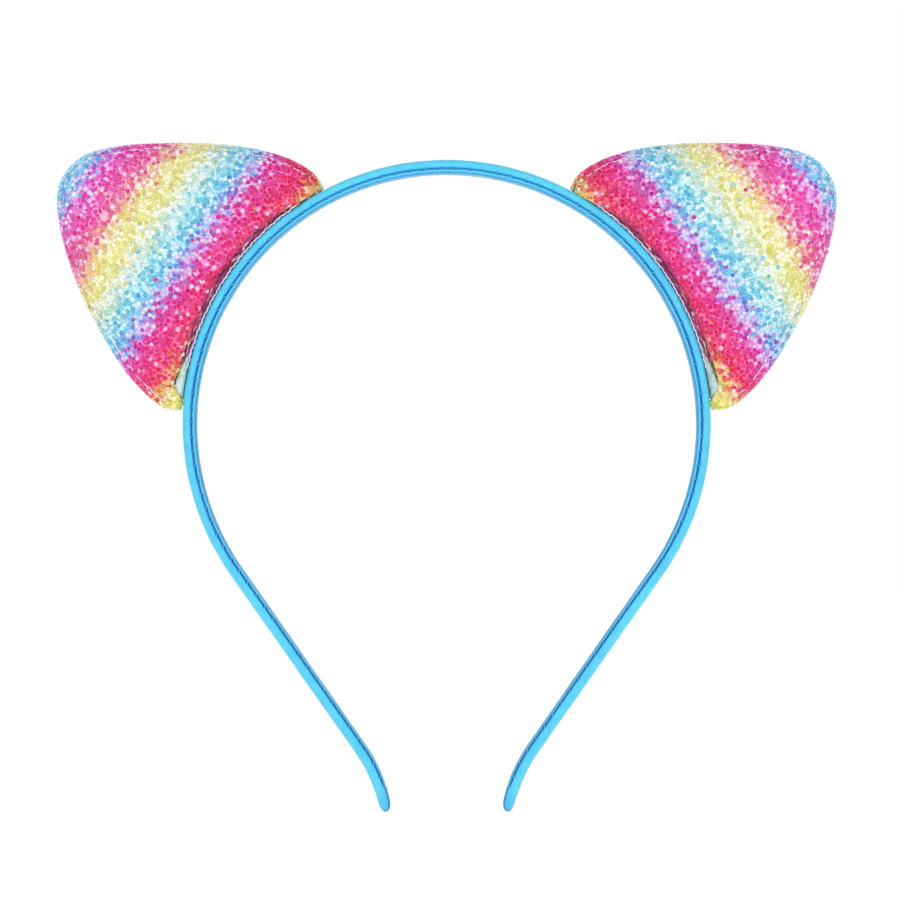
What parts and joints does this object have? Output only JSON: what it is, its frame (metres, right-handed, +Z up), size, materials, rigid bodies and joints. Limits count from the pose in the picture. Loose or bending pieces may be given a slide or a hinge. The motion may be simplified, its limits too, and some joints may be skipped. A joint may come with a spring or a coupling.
{
  "type": "animal ears headband",
  "caption": "Springy covered hair band with padded rainbow glitter animal ears glued to its upper outside.",
  "frame": {"origin": "middle of the crown's inner face, where the band rests on the head", "axes": "+Z up, out of the head; +X to the right when the band is seen from the front; -Y to the front, the side of the visible seam"},
  "size_m": [0.187, 0.014, 0.16],
  "materials": {
    "band_core_plastic": "matte",
    "satin_cover": "satin",
    "satin_lining": "satin",
    "seam_thread": "matte",
    "rainbow_glitter": "chunky glitter in rainbow stripes under a clear glossy film",
    "polyester_fill": "matte",
    "white_felt": "matte",
    "hot_melt_glue": "translucent gloss"
  },
  "bodies": {
    "crown": {"band_core_crown": "band_core_plastic", "band_cover_crown": "satin_cover", "band_lining_crown": "satin_lining", "front_seam_thread_crown": "seam_thread", "rear_seam_thread_crown": "seam_thread"},
    "left_side": {"band_core_left": "band_core_plastic", "band_cover_left": "satin_cover", "band_lining_left": "satin_lining", "front_seam_thread_left": "seam_thread", "rear_seam_thread_left": "seam_thread", "left_ear_front_panel": "rainbow_glitter", "left_ear_back_panel": "rainbow_glitter", "left_ear_padding": "polyester_fill", "left_ear_rim_seam_thread": "seam_thread", "left_ear_base_strip": "white_felt", "left_ear_glue_bead": "hot_melt_glue"},
    "right_side": {"band_core_right": "band_core_plastic", "band_cover_right": "satin_cover", "band_lining_right": "satin_lining", "front_seam_thread_right": "seam_thread", "rear_seam_thread_right": "seam_thread", "right_ear_front_panel": "rainbow_glitter", "right_ear_back_panel": "rainbow_glitter", "right_ear_padding": "polyester_fill", "right_ear_rim_seam_thread": "seam_thread", "right_ear_base_strip": "white_felt", "right_ear_glue_bead": "hot_melt_glue"}
  },
  "joints": [
    {"name": "left_flex", "type": "hinge", "parent": "crown", "child": "left_side", "pos_m": [-0.01653, 0, 0.00105], "axis": [0, 1, 0], "range_deg": [-4, 18], "stiffness_Nm_per_rad": 1.45},
    {"name": "right_flex", "type": "hinge", "parent": "crown", "child": "right_side", "pos_m": [0.01653, 0, 0.00105], "axis": [0, -1, 0], "range_deg": [-4, 18], "stiffness_Nm_per_rad": 1.45}
  ]
}
